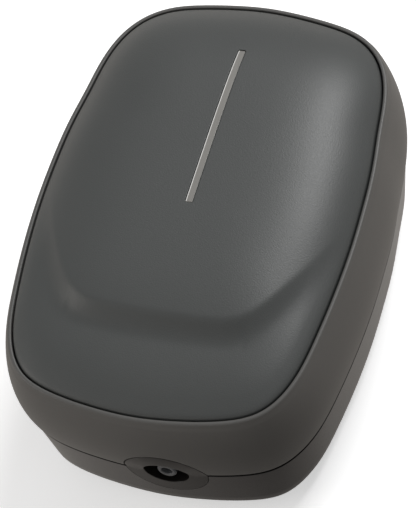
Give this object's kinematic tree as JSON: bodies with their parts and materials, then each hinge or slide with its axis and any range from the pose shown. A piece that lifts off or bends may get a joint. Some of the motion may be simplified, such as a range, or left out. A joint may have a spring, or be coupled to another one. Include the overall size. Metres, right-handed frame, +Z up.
{
  "type": "aquarium air pump",
  "caption": "Rounded two-shell diaphragm air pump with a domed inset cover, trim strip, recessed hose nipple, rear cord and vibrating arm inside.",
  "frame": {"origin": "on the floor under the middle of the overall box (housing plus cord stub)", "axes": "+Z up, +Y from the hose outlet at the front towards the cord at the rear, +X to the right seen from the front"},
  "size_m": [0.0878, 0.149, 0.0605],
  "materials": {
    "cover_plastic": "fine-grained satin",
    "upper_plastic": "fine-grained satin",
    "base_plastic": "satin",
    "strip_metal": "satin",
    "nipple_plastic": "semi-gloss",
    "soft_rubber": "matt",
    "cord_pvc": "satin",
    "filter_felt": "felt",
    "frame_plastic": "satin",
    "bobbin_nylon": "satin",
    "core_steel": "laminated",
    "screw_steel": "zinc plated",
    "copper_winding": "enamelled",
    "magnet_ferrite": "sintered",
    "silicone": "translucent matt",
    "wire_pvc": "satin"
  },
  "bodies": {
    "housing": {"lower_shell": "base_plastic", "upper_shell": "upper_plastic", "top_cover": "cover_plastic", "accent_strip": "strip_metal", "outlet_collar": "base_plastic", "outlet_nipple": "nipple_plastic", "rubber_feet": "soft_rubber", "housing_screws": "screw_steel", "filter_felt": "filter_felt", "pump_frame": "frame_plastic", "vibration_mounts": "soft_rubber", "magnet_core": "core_steel", "coil_bobbin": "bobbin_nylon", "coil_winding": "copper_winding", "core_clamp": "screw_steel", "core_screws": "screw_steel", "pivot_bracket": "screw_steel", "pivot_bushes": "bobbin_nylon", "bracket_screws": "screw_steel", "diaphragm": "soft_rubber", "chamber_body": "frame_plastic", "diaphragm_ring": "screw_steel", "chamber_gasket": "soft_rubber", "valve_plate": "bobbin_nylon", "chamber_cover": "frame_plastic", "chamber_screws": "screw_steel", "inner_air_tube": "silicone", "power_cord": "cord_pvc", "cord_grommet": "soft_rubber", "cord_clamp": "frame_plastic", "cord_clamp_screws": "screw_steel", "lead_wires": "wire_pvc"},
    "armature": {"swing_arm": "frame_plastic", "arm_magnet": "magnet_ferrite", "pivot_pin": "screw_steel", "diaphragm_plates": "screw_steel", "diaphragm_screw": "screw_steel", "arm_nut": "screw_steel"},
    "inlet_valve": {"inlet_flap": "soft_rubber"},
    "outlet_valve": {"outlet_flap": "soft_rubber"},
    "filter_cover": {"filter_cap": "base_plastic"}
  },
  "joints": [
    {"name": "arm_swing", "type": "hinge", "parent": "housing", "child": "armature", "pos_m": [0, -0.04167, 0.0232], "axis": [0, 0, 1], "range_deg": [-2, 2], "stiffness_Nm_per_rad": 0.6, "deforming": ["diaphragm"]},
    {"name": "inlet_flap_lift", "type": "hinge", "parent": "housing", "child": "inlet_valve", "pos_m": [0.0188, -0.01717, 0.0262], "axis": [0, 1, 0], "range_deg": [0, 12], "stiffness_Nm_per_rad": 0.00001},
    {"name": "outlet_flap_lift", "type": "hinge", "parent": "housing", "child": "outlet_valve", "pos_m": [0.0212, -0.02618, 0.0262], "axis": [0, -1, 0], "range_deg": [0, 12], "stiffness_Nm_per_rad": 0.00001},
    {"name": "filter_cap_turn", "type": "hinge", "parent": "housing", "child": "filter_cover", "pos_m": [0, -0.00768, 0.0035], "axis": [0, 0, 1], "range_deg": [0, 60]}
  ]
}
